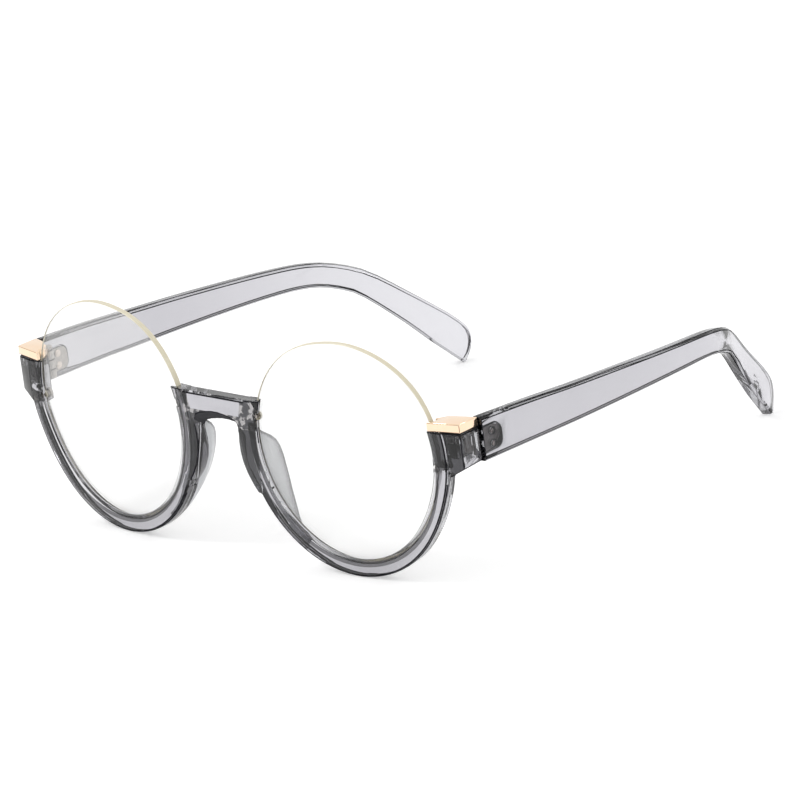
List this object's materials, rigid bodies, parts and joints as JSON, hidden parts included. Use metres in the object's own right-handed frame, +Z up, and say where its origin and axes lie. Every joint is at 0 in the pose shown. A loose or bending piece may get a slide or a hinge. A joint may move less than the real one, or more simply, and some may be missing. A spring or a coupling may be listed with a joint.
{
  "type": "semi-rimless eyeglasses",
  "caption": "Round clear lenses in a grooved grey half-rim front with metal end caps, keyhole bridge, bonded nose pads and folding hinged temples.",
  "frame": {"origin": "on the table, below the middle of the box of the open glasses", "axes": "+X towards the wearer's left, +Y backwards to the temple tips, +Z up from the table that the rims and tips stand on"},
  "size_m": [0.1486, 0.1344, 0.0568],
  "materials": {
    "crystal_grey_plastic": "clear grey, polished",
    "frosted_pad_plastic": "clear grey, satin",
    "rose_gold_plate": "polished rose gold plate",
    "hinge_metal": "dull grey",
    "clear_lens": "clear, polished, warm edge"
  },
  "bodies": {
    "front": {"front_frame": "crystal_grey_plastic", "lens_left": "clear_lens", "end_cap_left": "rose_gold_plate", "nose_pad_left": "frosted_pad_plastic", "hinge_front_leaf_left": "hinge_metal", "hinge_screw_left": "hinge_metal", "lens_screw_nasal_left": "hinge_metal", "lens_screw_temporal_left": "hinge_metal", "lens_right": "clear_lens", "end_cap_right": "rose_gold_plate", "nose_pad_right": "frosted_pad_plastic", "hinge_front_leaf_right": "hinge_metal", "hinge_screw_right": "hinge_metal", "lens_screw_nasal_right": "hinge_metal", "lens_screw_temporal_right": "hinge_metal"},
    "left_temple": {"temple_left": "crystal_grey_plastic", "hinge_temple_leaf_left": "hinge_metal", "temple_rivet_lower_left": "hinge_metal", "temple_rivet_upper_left": "hinge_metal"},
    "right_temple": {"temple_right": "crystal_grey_plastic", "hinge_temple_leaf_right": "hinge_metal", "temple_rivet_lower_right": "hinge_metal", "temple_rivet_upper_right": "hinge_metal"}
  },
  "joints": [
    {"name": "left_temple_fold", "type": "hinge", "parent": "front", "child": "left_temple", "pos_m": [0.0694, -0.05334, 0.0347], "axis": [0, 0, 1], "range_deg": [0, 82]},
    {"name": "right_temple_fold", "type": "hinge", "parent": "front", "child": "right_temple", "pos_m": [-0.0694, -0.05334, 0.0347], "axis": [0, 0, -1], "range_deg": [0, 76]}
  ]
}
